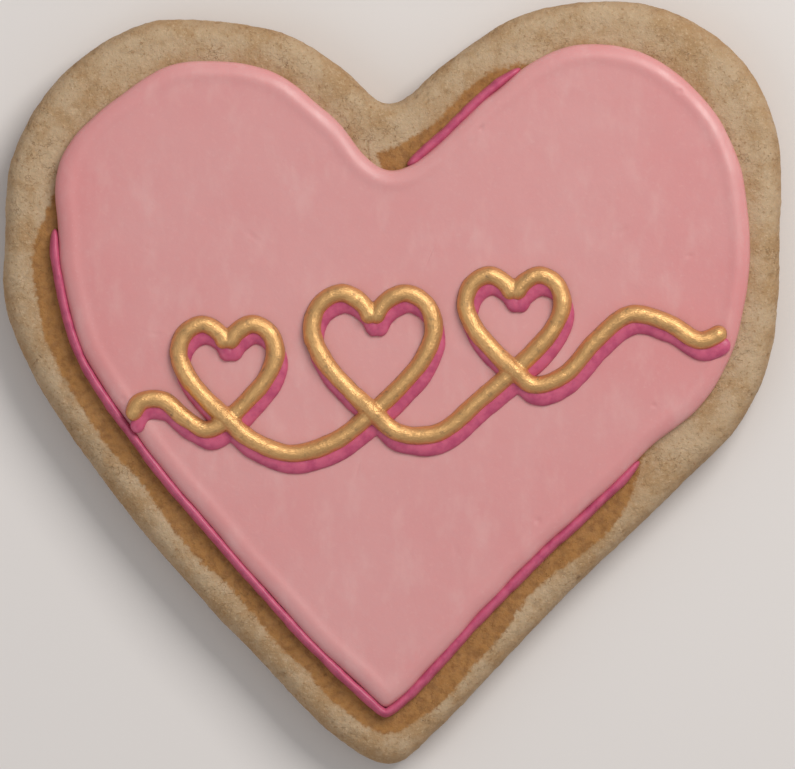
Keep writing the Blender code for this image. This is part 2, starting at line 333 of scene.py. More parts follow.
def vertices_at(name, height):
    """The node's vertices at that height, without doubles, in their order round the origin."""
    points = node_points(name)
    level = points[np.abs(points[:, 2] - height) < SAME_HEIGHT][:, :2]
    level = np.unique(np.round(level, 4), axis=0)
    return level[np.argsort(turn_from_cleft(level))]


def widest_height(name):
    """The height of the node's widest ring of vertices."""
    points = node_points(name)
    return points[np.argmax(points[:, 0]), 2]


def smooth_curve(anchors, closed):
    """Centripetal Catmull-Rom curve through the anchors, all spans worked out at once.

    A span's knots are the square roots of the distances between its four points, and the point is
    blended in three rounds, first between neighbours and then between those blends.
    """
    anchors = np.asarray(anchors, float)
    if closed:
        padded = np.vstack([anchors[-1:], anchors, anchors[:2]])
    else:
        padded = np.vstack([2 * anchors[0] - anchors[1], anchors, 2 * anchors[-1] - anchors[-2]])
    a, b, c, d = (padded[k:len(padded) - 3 + k, None, :] for k in range(4))
    t1 = np.sqrt(np.linalg.norm(b - a, axis=2, keepdims=True))
    t2 = t1 + np.sqrt(np.linalg.norm(c - b, axis=2, keepdims=True))
    t3 = t2 + np.sqrt(np.linalg.norm(d - c, axis=2, keepdims=True))
    t = t1 + (t2 - t1) * np.linspace(0.0, 1.0, CURVE_POINTS, endpoint=False)[None, :, None]
    ab = a + (b - a) * t / t1
    bc = b + (c - b) * (t - t1) / (t2 - t1)
    cd = c + (d - c) * (t - t2) / (t3 - t2)
    abc = ab + (bc - ab) * t / t2
    bcd = bc + (cd - bc) * (t - t1) / (t3 - t1)
    curve = (abc + (bcd - abc) * (t - t1) / (t2 - t1)).reshape(-1, 2)
    return curve if closed else np.vstack([curve, anchors[-1:]])


def lengths_along(points):
    """The length of the curve from its first point to each of its points."""
    return np.concatenate([[0.0], np.cumsum(np.linalg.norm(np.diff(points, axis=0), axis=1))])


def even_points(curve, count, closed):
    """The curve read again at evenly spaced points."""
    if closed:
        curve = np.vstack([curve, curve[:1]])
    along = lengths_along(curve)
    at = np.linspace(0.0, along[-1], count, endpoint=not closed)
    return np.column_stack([np.interp(at, along, curve[:, k]) for k in (0, 1)])


def evened(ring, reach):
    """The closed ring with each point averaged with its neighbours.

    The weights are a bell curve of that reach, in points, applied as a damping of the ring's
    Fourier terms.
    """
    keep = np.exp(-2 * (math.pi * np.fft.fftfreq(len(ring)) * reach) ** 2)
    return np.fft.ifft(np.fft.fft(ring, axis=0) * keep[:, None], axis=0).real


def outward(ring):
    """Unit normals of a counter-clockwise ring: its way ahead turned a quarter turn to the right."""
    ahead = np.roll(ring, -1, axis=0) - np.roll(ring, 1, axis=0)
    ahead /= np.linalg.norm(ahead, axis=1)[:, None]
    return np.column_stack([ahead[:, 1], -ahead[:, 0]])


def frame_outline(name, count, reach):
    """The node's widest outline as a smooth ring of that many points."""
    ring = even_points(smooth_curve(vertices_at(name, widest_height(name)), True), count, True)
    return evened(ring, reach)


def nearest_point(points, line):
    """Which point of the line lies nearest to each point, in the plane."""
    parts = np.array_split(points[:, :2], max(1, len(points) // CHUNK))
    square = (line ** 2).sum(axis=1)
    return np.concatenate([(square - 2 * part @ line.T).argmin(axis=1) for part in parts])


def segment_distance(points, start, end):
    """Distance from each point to its own straight segment, ends included."""
    way = end - start
    share = ((points - start) * way).sum(axis=1) / (way ** 2).sum(axis=1)
    return np.linalg.norm(points - start - way * np.clip(share, 0, 1)[:, None], axis=1)


def distance_to(points, ring):
    """Distance in the plane from each point to the closed ring.

    It is the smaller of the distances to the two segments that meet at the ring's nearest point.
    """
    points = points[:, :2]
    home = nearest_point(points, ring)
    return np.minimum(
        segment_distance(points, ring[home], ring[home - 1]),
        segment_distance(points, ring[home], ring[(home + 1) % len(ring)]),
    )


# ---- meshes

def new_object(name, data):
    """An object at the origin, in the scene."""
    made = bpy.data.objects.new(name, data)
    bpy.context.scene.collection.objects.link(made)
    return made


def mesh_object(name, points, faces):
    """A smooth mesh's object, from points in millimetres and arrays of the faces' corners."""
    mesh = bpy.data.meshes.new(name)
    mesh.vertices.add(len(points))
    mesh.vertices.foreach_set("co", (points * MM).astype(np.float32).ravel())
    sizes = np.concatenate([np.full(len(part), part.shape[1]) for part in faces])
    corners = np.concatenate([part.ravel() for part in faces]).astype(np.int32)
    mesh.loops.add(len(corners))
    mesh.loops.foreach_set("vertex_index", corners)
    mesh.polygons.add(len(sizes))
    starts = np.concatenate([[0], np.cumsum(sizes)[:-1]]).astype(np.int32)
    mesh.polygons.foreach_set("loop_start", starts)
    mesh.update(calc_edges=True)
    if mesh.validate():
        raise ValueError(f"{name} had faces that are not sound")
    mesh.shade_smooth()
    return new_object(name, mesh)


def ring_faces(count, size, first=0):
    """Faces of a stack of rings that face outwards, and a fan at each end to its pole."""
    around = np.arange(size)
    after = (around + 1) % size
    low = first + (np.arange(count - 1) * size)[:, None]
    quads = np.stack([low + around, low + after, low + size + after, low + size + around], axis=-1)
    poles = first + count * size
    last = first + (count - 1) * size
    start = np.column_stack([first + after, first + around, np.full(size, poles)])
    end = np.column_stack([last + around, last + after, np.full(size, poles + 1)])
    return quads.reshape(-1, 4), np.vstack([start, end])


def ring_points(rings):
    """The rings' points, followed by the two poles in the middle of the end rings."""
    return np.vstack([rings.reshape(-1, 3), rings[0].mean(axis=0), rings[-1].mean(axis=0)])


def ring_object(name, rings):
    """The closed object whose surface runs through a stack of rings."""
    return mesh_object(name, ring_points(rings), ring_faces(*rings.shape[:2]))


def vertex_vectors(layer, key):
    """A vector for each vertex, from the mesh's vertices or their normals."""
    values = np.empty(len(layer) * 3, np.float32)
    layer.foreach_get(key, values)
    return values.reshape(-1, 3).astype(float)


def millimetre_points(made):
    """The object's vertices, in millimetres."""
    return vertex_vectors(made.data.vertices, "co") / MM


def push_out(made, distance):
    """Moves each vertex along its normal by its distance in millimetres."""
    points = vertex_vectors(made.data.vertices, "co")
    normals = vertex_vectors(made.data.vertex_normals, "vector")
    moved = points + normals * distance[:, None] * MM
    made.data.vertices.foreach_set("co", moved.astype(np.float32).ravel())
    made.data.update()


def set_attribute(made, name, values):
    """A number stored on each vertex for the material to read."""
    layer = made.data.attributes.new(name, "FLOAT", "POINT")
    layer.data.foreach_set("value", values.astype(np.float32))


def apply_modifiers(made):
    """Makes what the modifiers show the object's own mesh."""
    graph = bpy.context.evaluated_depsgraph_get()
    result = bpy.data.meshes.new_from_object(made.evaluated_get(graph))
    made.modifiers.clear()
    made.data = result
    made.data.shade_smooth()


def place(made, material, slot, *nodes):
    """Gives the piece its material, and its place in the frame."""
    made.data.materials.clear()
    made.data.materials.append(material)
    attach(made, ROOT)
    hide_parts(*nodes)


# ---- materials

def set_inputs(tree, made, inputs):
    """Sets a node's inputs, by name or number: each to a value, or joined to another's socket."""
    for key, value in inputs.items():
        if isinstance(value, bpy.types.NodeSocket):
            tree.links.new(value, made.inputs[key])
        else:
            made.inputs[key].default_value = value


def add_node(tree, kind, inputs=None, **settings):
    """A new node with these inputs and settings."""
    made = tree.nodes.new(kind)
    for key, value in settings.items():
        setattr(made, key, value)
    set_inputs(tree, made, inputs or {})
    return made


def new_material(name):
    """A material with its Principled shader, and its node tree."""
    made = bpy.data.materials.new(name)
    made.use_nodes = True
    return made, made.node_tree


def finished(made, sockets):
    """The material, once its shader's sockets are set: each to a value, or joined to a node."""
    tree = made.node_tree
    set_inputs(tree, tree.nodes["Principled BSDF"], sockets)
    return made


def object_millimetres(tree, stretch=(1.0, 1.0, 1.0)):
    """Object coordinates in millimetres, stretched along the axes."""
    coordinates = add_node(tree, "ShaderNodeTexCoord").outputs["Object"]
    scale = tuple(1 / MM / s for s in stretch)
    return add_node(tree, "ShaderNodeMapping", {"Vector": coordinates, "Scale": scale}).outputs[0]


def noise(tree, vector, size, detail=3.0, roughness=0.5):
    """Noise from 0 to 1 whose features have about that size in millimetres."""
    inputs = {"Vector": vector, "Scale": 1 / size, "Detail": detail, "Roughness": roughness}
    return add_node(tree, "ShaderNodeTexNoise", inputs).outputs["Fac"]


def attribute(tree, name):
    """The number that the mesh stores on its vertices under that name."""
    return add_node(tree, "ShaderNodeAttribute", attribute_name=name).outputs["Fac"]


def math_node(tree, operation, *values):
    """One arithmetic step."""
    inputs = dict(enumerate(values))
    return add_node(tree, "ShaderNodeMath", inputs, operation=operation).outputs[0]


def both_ways(tree, value, amount):
    """Noise from 0 to 1 turned into one from -amount to amount."""
    return math_node(tree, "MULTIPLY_ADD", value, 2 * amount, -amount)


def spread(tree, value, low, high, to_low=0.0, to_high=1.0):
    """The value's range from low to high, eased onto another range."""
    inputs = {"Value": value, "From Min": low, "From Max": high, "To Min": to_low, "To Max": to_high}
    return add_node(tree, "ShaderNodeMapRange", inputs, interpolation_type="SMOOTHSTEP").outputs[0]


def mix(tree, share, first, second):
    """A blend of two colours, each a socket or a property's colour."""
    def colour(value):
        return value if isinstance(value, bpy.types.NodeSocket) else (*value, 1.0)
    inputs = {0: share, 6: colour(first), 7: colour(second)}
    return add_node(tree, "ShaderNodeMix", inputs, data_type="RGBA").outputs[2]


def scaled_colour(colour, factor):
    """The colour made lighter or darker by a factor."""
    return [min(1.0, channel * factor) for channel in colour]


def bump(tree, height, strength, distance, normal=None):
    """The normal of a surface raised by the height, over the normal of coarser relief."""
    inputs = {"Height": height, "Strength": strength, "Distance": distance}
    if normal is not None:
        inputs["Normal"] = normal
    return add_node(tree, "ShaderNodeBump", inputs).outputs[0]


def biscuit_material(settings):
    """Matte mottled tan dough, browned at the edge, with painted shade in pores and cracks, and a
    dark band beside the icing as its painted shadow.
    """
    made, tree = new_material("baked_dough")
    vector = object_millimetres(tree)

    # The dough: golden mottle, pale speckle, dark specks and pale grains.
    pale = scaled_colour(settings.dough, 1.18)
    mottle = noise(tree, vector, 5.0, detail=4.0, roughness=0.6)
    speckle = noise(tree, vector, 0.7, detail=4.0, roughness=0.7)
    specks = noise(tree, vector, 0.45, detail=2.0)
    grains = noise(tree, vector, 0.38, detail=2.0)
    dough = mix(tree, spread(tree, mottle, 0.38, 0.66), settings.dough, settings.golden)
    dough = mix(tree, spread(tree, speckle, 0.50, 0.78, 0.0, 0.7), dough, pale)
    dough = mix(tree, spread(tree, specks, 0.60, 0.72, 0.0, 0.6), dough, settings.toasted)
    dough = mix(tree, spread(tree, grains, 0.58, 0.70, 0.0, 0.55), dough, pale)

    # Fine cracks in patches, along the lines where a wandering noise passes its middle, darkened as
    # painted shade.
    wandering = noise(tree, vector, 2.2, roughness=0.6)
    veins = math_node(tree, "ABSOLUTE", math_node(tree, "SUBTRACT", wandering, 0.5))
    patches = spread(tree, noise(tree, vector, 9.0, detail=2.0), 0.46, 0.60)
    cracks = math_node(tree, "MULTIPLY", spread(tree, veins, 0.0, 0.010, 1.0, 0.0), patches)
    dough = mix(tree, math_node(tree, "MULTIPLY", cracks, 0.55), dough, settings.toasted)

    # The browning of the foot and the outer edge, and painted shade darkening the pores.
    patchy = both_ways(tree, noise(tree, vector, 3.0, detail=4.0, roughness=0.6), 0.4)
    toast = math_node(tree, "ADD", attribute(tree, "toast"), patchy)
    dough = mix(tree, spread(tree, toast, 0.05, 1.2, 0.0, 0.85), dough, settings.toasted)
    dough = mix(tree, attribute(tree, "pore"), dough, settings.toasted)

    # The icing's painted shadow: a brown band beside the icing, with a ragged edge and darker
    # blotches.
    ragged = both_ways(tree, noise(tree, vector, 0.9, detail=5.0, roughness=0.65), 0.8)
    inside = math_node(tree, "ADD", attribute(tree, "shadow_band_inside"), ragged)
    blotches = noise(tree, vector, 1.1, detail=4.0, roughness=0.6)
    shadow_band = mix(tree, spread(tree, blotches, 0.40, 0.70), settings.shadow_band, settings.shadow_band_dark)
    colour = mix(tree, spread(tree, inside, -0.15, 0.45, 0.0, 0.93), dough, shadow_band)

    # The relief of the crumb, in three layers, with the cracks sunk into the coarsest.
    uneven = noise(tree, vector, 1.3, detail=6.0, roughness=0.62)
    coarse = bump(tree, math_node(tree, "MULTIPLY_ADD", cracks, -0.5, uneven), 0.6, 0.0004)
    crumb = bump(tree, noise(tree, vector, 0.45, roughness=0.6), 0.7, 0.00022, coarse)
    return finished(made, {
        "Base Color": colour,
        "Roughness": spread(tree, speckle, 0.3, 0.7, 0.92, 0.72),
        "Normal": bump(tree, noise(tree, vector, 0.22, roughness=0.6), 0.6, 0.00012, crumb),
        "Subsurface Weight": 0.08, "Subsurface Radius": (1.0, 0.5, 0.25), "Subsurface Scale": 0.0012,
    })


def icing_material(settings):
    """Set flood icing: satin pink, streaked paler, stronger towards the lobes."""
    made, tree = new_material("pink_flood")
    vector = object_millimetres(tree)
    drawn_out = object_millimetres(tree, stretch=(1.0, 2.2, 1.0))
    streaks = noise(tree, drawn_out, 3.4, detail=4.0, roughness=0.55)
    fine = noise(tree, vector, 0.5, roughness=0.6)
    warm = math_node(tree, "ADD", attribute(tree, "warmth"), noise(tree, vector, 16.0))
    colour = mix(tree, spread(tree, warm, 0.45, 1.2), settings.pink, settings.warm)
    colour = mix(tree, spread(tree, streaks, 0.45, 0.80, 0.0, 0.45), colour, settings.pale)
    colour = mix(tree, spread(tree, fine, 0.55, 0.8, 0.0, 0.25), colour, settings.pale)
    waves = bump(tree, noise(tree, vector, 3.5), 0.35, 0.0002)
    return finished(made, {
        "Base Color": colour,
        "Roughness": spread(tree, streaks, 0.3, 0.7, 0.50, 0.36),
        "Normal": bump(tree, noise(tree, vector, 0.35, roughness=0.55), 0.18, 0.00006, waves),
        "Subsurface Weight": 0.18, "Subsurface Radius": (1.0, 0.45, 0.4), "Subsurface Scale": 0.0016,
        "Coat Weight": 0.12, "Coat Roughness": 0.30,
    })


def deep_pink_material(settings):
    """Set piped icing in a deep pink, with darker and lighter stretches, for the lines that are
    painted shade and painted shadow.
    """
    made, tree = new_material("deep_pink_shade_piping")
    vector = object_millimetres(tree)
    darker = spread(tree, noise(tree, vector, 1.6, detail=4.0, roughness=0.6), 0.38, 0.70)
    return finished(made, {
        "Base Color": mix(tree, darker, settings.deep_pink, settings.deep_pink_dark),
        "Roughness": spread(tree, noise(tree, vector, 0.8), 0.3, 0.7, 0.48, 0.34),
        "Normal": bump(tree, noise(tree, vector, 0.4), 0.25, 0.0001),
        "Subsurface Weight": 0.12, "Subsurface Radius": (1.0, 0.3, 0.4), "Subsurface Scale": 0.0008,
    })


def gold_material(settings):
    """Gold lustre brushed along set icing: metal with fine streaks, thin in patches, and darkened
    and less metallic at its foot as painted shade.
    """
    made, tree = new_material("brushed_gold")
    vector = object_millimetres(tree)
    stretched = math_node(tree, "MULTIPLY", attribute(tree, "along"), 0.22)
    flow = add_node(tree, "ShaderNodeCombineXYZ", {0: stretched, 1: attribute(tree, "across")})
    streaks = noise(tree, flow.outputs[0], 0.22, detail=4.0, roughness=0.6)
    patches = noise(tree, vector, 1.2, detail=4.0, roughness=0.6)
    # Thin lustre in patches, and painted shade at the line's foot.
    thin_and_shaded = math_node(tree, "MULTIPLY_ADD", attribute(tree, "shaded_foot"), 0.5, patches)
    bright = scaled_colour(settings.gold, 1.14)
    colour = mix(tree, spread(tree, streaks, 0.35, 0.65), settings.gold, bright)
    colour = mix(tree, spread(tree, thin_and_shaded, 0.54, 0.85), colour, settings.gold_thin_and_shaded)
    brushed = bump(tree, streaks, 0.45, 0.00016)
    grain = noise(tree, vector, 0.26, detail=4.0, roughness=0.6)
    return finished(made, {
        "Base Color": colour,
        "Metallic": spread(tree, thin_and_shaded, 0.58, 0.95, 0.90, 0.15),
        "Roughness": spread(tree, streaks, 0.3, 0.7, 0.56, 0.38),
        "Normal": bump(tree, grain, 0.55, 0.00012, brushed),
    })


def floor_material(settings):
    """Plain pale matte board with a faint grain."""
    made, tree = new_material("pale_board")
    vector = object_millimetres(tree)
    darker = scaled_colour(settings.floor, 0.985)
    return finished(made, {
        "Base Color": mix(tree, noise(tree, vector, 40.0), settings.floor, darker),
        "Roughness": 0.8,
        "Normal": bump(tree, noise(tree, vector, 0.6), 0.05, 0.0001),
    })


# ---- the biscuit

def shrinking_rings(ring, centre, shares):
    """Copies of the ring drawn towards a centre, each to its share of the ring's size."""
    return centre + (ring - centre) * np.asarray(shares)[:, None, None]


def shares_inward(depth, near_steps, far_steps):
    """Shares of size from 1 to almost 0: near the edge their steps grow from very fine ones."""
    near = 1 - depth * np.linspace(0, 1, near_steps) ** STEP_GROWTH
    far = np.linspace(near[-1], LAST_RING, far_steps + 1)[1:]
    return np.concatenate([near, far])


def over_the_edge(inset, radius, power):
    """From 0 at the edge to 1 at the radius and beyond it: a quarter superellipse."""
    out = 1 - np.clip(inset / radius, 0, 1)
    return (1 - out ** power) ** (1 / power)


def raise_rings(rings, heights):
    """Flat rings lifted to their heights."""
    levels = np.broadcast_to(np.asarray(heights, float)[:, None, None], (*rings.shape[:2], 1))
    return np.concatenate([rings, levels], axis=2)


def biscuit_shape(low, high):
    """The biscuit's rings, from the middle of its underside, up its side and over its top.

    The side is an upright wall over a small rounded base edge. The top's rings are the outline
    drawn towards the middle, and their heights follow a quarter superellipse of the distance to
    the edge.
    """
    outline = frame_outline("biscuit", BISCUIT_POINTS, reach=3.0)
    turn = np.linspace(0.0, math.pi / 2, BASE_RINGS)
    foot_insets = BASE_ROUNDING * (1 - np.sin(turn))
    foot_heights = low + BASE_RISE * (1 - np.cos(turn))
    foot = np.array([outline - outward(outline) * inset for inset in foot_insets])
    under = shrinking_rings(foot[0], BISCUIT_CENTRE, BISCUIT_UNDER)
    wall_heights = np.linspace(low + BASE_RISE, high - TOP_RISE, WALL_RINGS)[1:-1]
    wall = np.repeat(outline[None], len(wall_heights), axis=0)
    shares = shares_inward(depth=0.24, near_steps=44, far_steps=5)
    top = shrinking_rings(outline, BISCUIT_CENTRE, shares)
    inset = distance_to(top.reshape(-1, 2), outline).reshape(top.shape[:2])
    heights = high - TOP_RISE + TOP_RISE * over_the_edge(inset, TOP_ROUNDING, TOP_POWER)
    heights = evened(heights.T, reach=2.0).T
    stacked = [
        raise_rings(under, np.full(len(under), low)),
        raise_rings(foot, foot_heights),
        raise_rings(wall, wall_heights),
        np.concatenate([top, heights[..., None]], axis=2),
    ]
    return np.vstack(stacked)


def shadow_band_cover(turn, name, before, after, fade):
    """How far, from 0 to 1, the icing's painted shadow beside a rim line covers each angle round the
    origin.
    """
    span = turn_from_cleft(node_points(name))
    low, high = span.min() - before, span.max() + after
    middle = (low + high) / 2
    away = np.abs((turn - middle + 180) % 360 - 180)
    return smoothstep(((high - low) / 2 - away) / fade)


def shadow_band_inside(points, width):
    """How far, in millimetres, each point lies inside the brown band beside the icing, its painted
    shadow.

    The band reaches from the icing's edge, past the room that a rim line takes, to its own width.
    Both are scaled by the cover, so that the band runs out to a point against the icing.
    """
    gap = distance_to(points, frame_outline("pink_icing", ICING_POINTS, reach=3.0))
    turn = turn_from_cleft(points)
    cover = np.zeros(len(points))
    for name, before, after, fade, share in SHADOW_BANDS:
        cover = np.maximum(cover, share * shadow_band_cover(turn, name, before, after, fade))
    uneven = 1 + SHADOW_BAND_UNEVENNESS * lattice_noise(points, cell=7.0, seed=71)
    local = (width + RIM_ROOM) * cover * uneven
    return np.where(cover > 0, local - gap, -width)


def open_pores(points, side, wall):
    """Depth from 0 to 1 of the large and small pores, which are deeper in the side."""
    large = pores(points, cell=2.1, share=0.55, seed=11) * (0.5 + 0.5 * side)
    small = pores(points, cell=0.9, share=0.45, seed=12)
    return np.maximum(large, SMALL_PORE * small) * wall


def toasted(points):
    """How browned the dough is: most at the foot, and towards the outline as a bell curve."""
    inset = distance_to(points, frame_outline("biscuit", BISCUIT_POINTS // 2, reach=1.5))
    foot = BASE_TOAST * (1 - smoothstep(points[:, 2] / BASE_TOAST_HEIGHT))
    return foot + EDGE_TOAST * np.exp(-(inset / EDGE_TOAST_REACH) ** 2)


class COOKIE_OT_biscuit(Operator):
    """Makes the baked biscuit: uneven cut edge, crumb, pores with painted shade, and the icing's
    painted shadow as a brown band.
    """

    bl_idname = "cookie.biscuit"
    bl_label = "Biscuit"

    def execute(self, context):
        settings = context.scene.cookie_biscuit
        lowest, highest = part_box("biscuit")[0].z / MM, top_level("biscuit")
        made = ring_object("biscuit_baked", biscuit_shape(lowest, highest))
        points = millimetre_points(made)
        height = points[:, 2]
        wall = smoothstep((height - SIDE_START) / SIDE_GROWTH)
        top = smoothstep((height - highest + TOP_START) / TOP_GROWTH)
        side = wall * (1 - top)
        hole = open_pores(points, side, wall)
        strays = rough(points * STRAY_STRETCH, cell=9.0, octaves=3, seed=13)
        layers = rough(points * LAYER_STRETCH, cell=2.4, octaves=3, seed=16)
        relief = settings.wobble / MM * strays * side
        relief += settings.swell / MM * rough(points, cell=12.0, octaves=3, seed=14) * top
        relief += settings.crumb / MM * rough(points, cell=0.9, octaves=3, seed=15) * wall
        relief += LAYER_DEPTH * layers * side
        relief -= settings.pore / MM * hole
        push_out(made, relief)
        # Pore depth, which the material also paints as shade in the pores.
        set_attribute(made, "pore", np.clip(hole * 1.1 - 0.1, 0, 1))  # none in the shallowest
        set_attribute(made, "toast", toasted(points))
        # Where the icing's painted shadow lies on the biscuit.
        set_attribute(made, "shadow_band_inside", shadow_band_inside(points, settings.shadow_band_width / MM))
        place(made, biscuit_material(settings), "baked_biscuit", "biscuit")
        return {"FINISHED"}


# ---- the icing

def icing_shape(low, high, ridge, wobble):
    """The icing's rings, from the middle of its underside, round its edge and over its top.

    The foot is tucked in. The top's rings are the outline drawn towards the middle, and their
    heights follow a quarter superellipse of the distance to the edge, with a low bell-shaped ridge
    where the outline was piped before the flood.
    """
    outline = frame_outline("pink_icing", ICING_POINTS, reach=2.0)
    wander = wobble * lattice_noise(at_level(outline, 0.0), cell=5.0, seed=31)
    outline = outline + outward(outline) * (wander + wobble / 2)[:, None]
    foot = np.array([outline - outward(outline) * inset for inset in ICING_TUCK])
    under = shrinking_rings(foot[0], ICING_CENTRE, ICING_UNDER)
    shares = shares_inward(depth=0.20, near_steps=40, far_steps=42)
    top = shrinking_rings(outline, ICING_CENTRE, shares)
    inset = distance_to(top.reshape(-1, 2), outline).reshape(top.shape[:2])
    lip = low + ICING_LIP
    heights = lip + (high - ridge - lip) * over_the_edge(inset, ICING_ROUNDING, ICING_POWER)
    heights += ridge * np.exp(-((inset - RIDGE_INSET) / RIDGE_REACH) ** 2)
    heights = evened(heights.T, reach=3.0).T
    stacked = [
        raise_rings(under, np.full(len(under), low - ICING_SINK)),
        raise_rings(foot, np.linspace(low - ICING_SINK, lip, len(foot), endpoint=False)),
        np.concatenate([top, heights[..., None]], axis=2),
    ]
    return np.vstack(stacked)


class COOKIE_OT_icing(Operator):
    """Makes the pink flood icing that lies on the biscuit."""

    bl_idname = "cookie.icing"
    bl_label = "Pink icing"

    def execute(self, context):
        settings = context.scene.cookie_icing
        icing_top = top_level("pink_icing")
        ridge, wobble = settings.ridge / MM, settings.wobble / MM
        rings = icing_shape(top_level("biscuit"), icing_top, ridge, wobble)
        made = ring_object("pink_icing_flood", rings)
        points = millimetre_points(made)
        top = smoothstep((points[:, 2] - icing_top + ICING_TOP_START) / ICING_TOP_GROWTH)
        relief = settings.swell / MM * rough(points, cell=11.0, octaves=3, seed=32)
        relief += EDGE_RIPPLE * rough(points, cell=3.0, octaves=3, seed=33) * (1 - top)
        relief -= settings.bubble / MM * pores(points, cell=2.4, share=0.06, seed=34) * top
        push_out(made, relief)
        lobes = LOBE_WARMTH * (np.abs(points[:, 0]) / LOBE_REACH) ** 2
        tip = TIP_WARMTH * smoothstep(-points[:, 1] / TIP_REACH)
        set_attribute(made, "warmth", lobes + tip)
        place(made, icing_material(settings), "pink_icing", "pink_icing")
        return {"FINISHED"}


# ---- piped lines

def right_side(path):
    """Unit normals to the right of the way a path runs."""
    ahead = np.gradient(path, axis=0)
    ahead /= np.linalg.norm(ahead, axis=1)[:, None]
    return np.column_stack([ahead[:, 1], -ahead[:, 0]])


def swept_rings(path, widths, heights, base, depth):
    """Sections along a path: half an ellipse above the base and a flatter one sunk below it.

    Seen from ahead, angle a gives a point width/2 * sin a to the right and height * cos a up, or
    depth * cos a down where the cosine is below 0.
    """
    turn = np.linspace(0.0, 2 * math.pi, LINE_SECTION_POINTS, endpoint=False)
    across = widths[:, None] / 2 * np.sin(turn)
    shrink = (widths / widths.max())[:, None]
    up = np.where(np.cos(turn) > 0, heights[:, None], depth * shrink) * np.cos(turn)
    flat = path[:, None] + right_side(path)[:, None] * across[..., None]
    return np.concatenate([flat, (base[:, None] + up)[..., None]], axis=2)


def from_ends(path):
    """How far each point lies from the nearer end of its path."""
    along = lengths_along(path)
    return np.minimum(along, along[-1] - along)


def end_rounding(path, reach):
    """Scale from 0 to 1 that rounds off both ends of a path over that reach, as a circle."""
    out = 1 - np.clip(from_ends(path) / reach, 0, 1)
    return np.sqrt(np.clip(1 - out ** 2, 0.002, 1))


def line_points(anchors):
    """Evenly spaced points along the smooth open curve through the anchors."""
    curve = smooth_curve(anchors, False)
    return even_points(curve, round(lengths_along(curve)[-1] / LINE_STEP), False)


def varied(path, level, piping, seed):
    """A factor near 1 for each point of a path, by which the line's width and height vary."""
    wander = rough(at_level(path, level), cell=piping.cell, octaves=3, seed=seed)
    return 1 + piping.unevenness * wander


def add_lumps(made, height, cell, seed):
    """Small lumps all over a line, of that height in millimetres."""
    push_out(made, height * rough(millimetre_points(made), cell=cell, octaves=3, seed=seed))


def heart_half(loop, left):
    """One side of a heart-shaped loop: up its right side, or down its left side from the cleft."""
    (x, y), (width, height) = loop
    half = HALF_LOOP[::-1] if left else HALF_LOOP
    side = -1 if left else 1
    return [(x + side * width * a, y + height * b) for a, b in half]


def flourish_strokes():
    """The gold line's centre as four strokes, which meet at the clefts of the three loops."""
    lead_in, first_link, second_link, tail = RUNS
    first, second, third = HEART_LOOPS
    strokes = (
        [*lead_in, *heart_half(first, left=False)],
        [*heart_half(first, left=True), *first_link, *heart_half(second, left=False)],
        [*heart_half(second, left=True), *second_link, *heart_half(third, left=False)],
        [*heart_half(third, left=True), *tail],
    )
    return [line_points(stroke) for stroke in strokes]


def merged_line(name, rings):
    """One closed mesh from overlapping swept strokes, merged on a fine grid and smoothed."""
    points = [ring_points(part) for part in rings]
    firsts = np.cumsum([0, *map(len, points)])
    faces = [ring_faces(*part.shape[:2], first) for part, first in zip(rings, firsts)]
    made = mesh_object(name, np.vstack(points), [np.vstack(kind) for kind in zip(*faces)])
    remesh = made.modifiers.new("merge", "REMESH")
    remesh.mode = "VOXEL"
    remesh.voxel_size = VOXEL * MM
    smooth = made.modifiers.new("smooth", "SMOOTH")
    smooth.iterations = SMOOTH_PASSES
    apply_modifiers(made)
    return made


def line_coordinates(made, strokes):
    """Stores how far along the strokes and how far to the right of them each vertex lies."""
    points = millimetre_points(made)[:, :2]
    path = np.vstack(strokes)
    starts = STREAK_GAP * np.arange(len(strokes))
    along = np.concatenate([lengths_along(s) + start for s, start in zip(strokes, starts)])
    sides = np.vstack([right_side(s) for s in strokes])
    nearest = nearest_point(points, path)
    set_attribute(made, "along", along[nearest])
    set_attribute(made, "across", ((points - path[nearest]) * sides[nearest]).sum(axis=1))


def rim_rings(name, width, seed):
    """A rim line's sections, pressed against the icing.

    They follow the frame's line, whose highest vertices run along its middle. Towards its ends the
    line is narrower and lower, and what its half width loses there moves it nearer the icing.
    """
    path = line_points(vertices_at(name, top_level(name)))
    uneven = varied(path, 0.0, RIM, seed)
    taper = smoothstep(from_ends(path) / RIM_TAPER_LENGTH) * RIM_TAPER + (1 - RIM_TAPER)
    ends = end_rounding(path, RIM.rounding)
    base = np.full(len(path), top_level("biscuit"))
    lower = RIM_LOW_END + (1 - RIM_LOW_END) * taper
    heights = (top_level(name) - base) * (0.9 + 0.1 * uneven) * lower * ends
    shift = RIM_WANDER * rough(at_level(path, 0.0), cell=5.0, octaves=2, seed=seed + 2) - RIM_SHIFT
    shift -= width / 2 * (1 - taper)
    path = path + right_side(path) * shift[:, None]
    return swept_rings(path, width * uneven * taper * ends, heights, base, RIM.depth)


class COOKIE_OT_rim_lines(Operator):
    """Makes the two deep pink lines piped against the icing's edge, as painted shade on its shaded
    sides.
    """

    bl_idname = "cookie.rim_lines"
    bl_label = "Rim lines"

    def execute(self, context):
        settings = context.scene.cookie_lines
        material = deep_pink_material(settings)
        for seed, (name, *_) in enumerate(SHADOW_BANDS, start=41):
            made = ring_object(name + "_piped", rim_rings(name, settings.rim_width / MM, seed))
            add_lumps(made, settings.lumps / MM, cell=1.4, seed=seed + 4)
            place(made, material, "deep_pink_icing", name)
        return {"FINISHED"}


